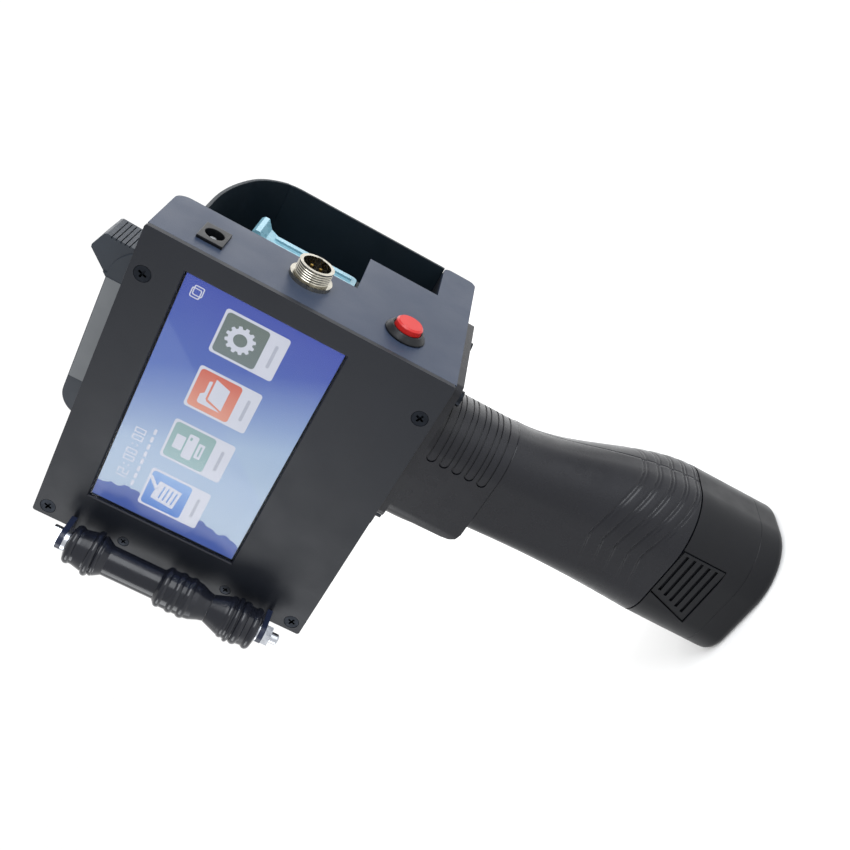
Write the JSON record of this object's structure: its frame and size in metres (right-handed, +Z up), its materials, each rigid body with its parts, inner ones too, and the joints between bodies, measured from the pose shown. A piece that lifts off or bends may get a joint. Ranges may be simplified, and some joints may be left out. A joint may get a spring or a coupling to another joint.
{
  "type": "handheld date code inkjet printer",
  "caption": "Handheld date code inkjet printer: touch-screen housing with side cartridge bay and latch lever, guide rollers at the print edge, trigger grip and slide-off battery pack.",
  "frame": {"origin": "centre of the battery pack's flat base", "axes": "+Z up the grip to the housing, +X to the rear plate, -Y out of the screen"},
  "size_m": [0.1327, 0.1031, 0.2555],
  "materials": {
    "panel_paint": "matte fine-textured charcoal powder coat",
    "rear_paint": "satin blue-grey paint",
    "housing_paint": "matte charcoal powder coat",
    "bay_black": "satin black moulded",
    "screen_glass": "clear gloss",
    "screen_face": "lit display",
    "board_green": "solder mask",
    "chip_black": "moulded",
    "brass": "turned",
    "steel": "machined",
    "nickel": "nickel plate",
    "dark_screw": "black oxide",
    "bracket_paint": "dark navy coat",
    "roller_gloss": "polished black",
    "fitting_black": "semi-gloss black",
    "button_red": "satin red",
    "lever_grey": "moulded grey",
    "label_grey": "satin film",
    "cartridge_cyan": "translucent cyan",
    "contact_blue": "moulded",
    "grip_satin": "satin black",
    "battery_satin": "satin black",
    "cell_wrap": "shrink wrap"
  },
  "bodies": {
    "chassis": {"front_panel": "panel_paint", "display_housing": "housing_paint", "rear_plate": "rear_paint", "base_tray": "housing_paint", "bay_shell": "bay_black", "print_face": "bay_black", "touch_glass": "screen_glass", "lcd_module": "screen_face", "main_board": "board_green", "board_chips": "chip_black", "board_spacers": "brass", "panel_posts": "steel", "panel_screws": "dark_screw", "bracket_screws": "dark_screw", "roller_bracket": "bracket_paint", "roller_axle": "steel", "axle_nut": "steel", "axle_washers": "steel", "dc_jack": "fitting_black", "jack_pin": "steel", "connector_shell": "nickel", "connector_insert": "fitting_black", "connector_pins": "brass", "connector_nut": "nickel", "button_bezel": "fitting_black", "button_nut": "nickel", "button_switch": "chip_black", "hinge_post": "bay_black", "hinge_pin": "steel", "cartridge_rails": "bay_black", "contact_block": "contact_blue", "contact_pins": "brass", "grip_adapter": "grip_satin", "flange_screws": "dark_screw", "grip_shell_near": "grip_satin", "grip_shell_far": "grip_satin", "grip_screws": "dark_screw", "trigger_switch": "chip_black", "terminal_block": "steel"},
    "latch_lever": {"latch_lever": "lever_grey", "latch_label": "label_grey"},
    "cartridge": {"cartridge_body": "cartridge_cyan", "cartridge_nozzle": "brass"},
    "push_button": {"button_cap": "button_red"},
    "trigger": {"trigger": "grip_satin"},
    "upper_roller": {"upper_roller": "roller_gloss"},
    "lower_roller": {"lower_roller": "roller_gloss"},
    "battery": {"battery_shell": "battery_satin", "battery_end_cap": "battery_satin", "battery_cells": "cell_wrap", "battery_terminals": "brass"},
    "battery_latch_near": {"battery_latch_near": "battery_satin"},
    "battery_latch_far": {"battery_latch_far": "battery_satin"}
  },
  "joints": [
    {"name": "latch_lever_hinge", "type": "hinge", "parent": "chassis", "child": "latch_lever", "pos_m": [-0.0641, 0.0122, 0.2384], "axis": [0, -1, 0], "range_deg": [0, 70]},
    {"name": "cartridge_slide", "type": "slide", "parent": "chassis", "child": "cartridge", "axis": [1, 0, 0], "range_m": [0, 0.116]},
    {"name": "button_press", "type": "slide", "parent": "chassis", "child": "push_button", "axis": [-1, 0, 0], "range_m": [0, 0.0016], "stiffness_N_per_m": 400},
    {"name": "trigger_pull", "type": "slide", "parent": "chassis", "child": "trigger", "axis": [1, 0, 0], "range_m": [0, 0.003], "stiffness_N_per_m": 400},
    {"name": "upper_roller_spin", "type": "hinge", "parent": "chassis", "child": "upper_roller", "pos_m": [-0.0916, -0.0371, 0.195], "axis": [0, 0, 1], "continuous": true},
    {"name": "lower_roller_spin", "type": "hinge", "parent": "chassis", "child": "lower_roller", "pos_m": [-0.0916, -0.0371, 0.154], "axis": [0, 0, 1], "continuous": true},
    {"name": "battery_slide", "type": "slide", "parent": "chassis", "child": "battery", "axis": [0, 0, -1], "range_m": [0, 0.03]},
    {"name": "near_latch_press", "type": "slide", "parent": "battery", "child": "battery_latch_near", "axis": [0, 1, 0], "range_m": [0, 0.0012], "stiffness_N_per_m": 400},
    {"name": "far_latch_press", "type": "slide", "parent": "battery", "child": "battery_latch_far", "axis": [0, -1, 0], "range_m": [0, 0.0012], "stiffness_N_per_m": 400}
  ]
}
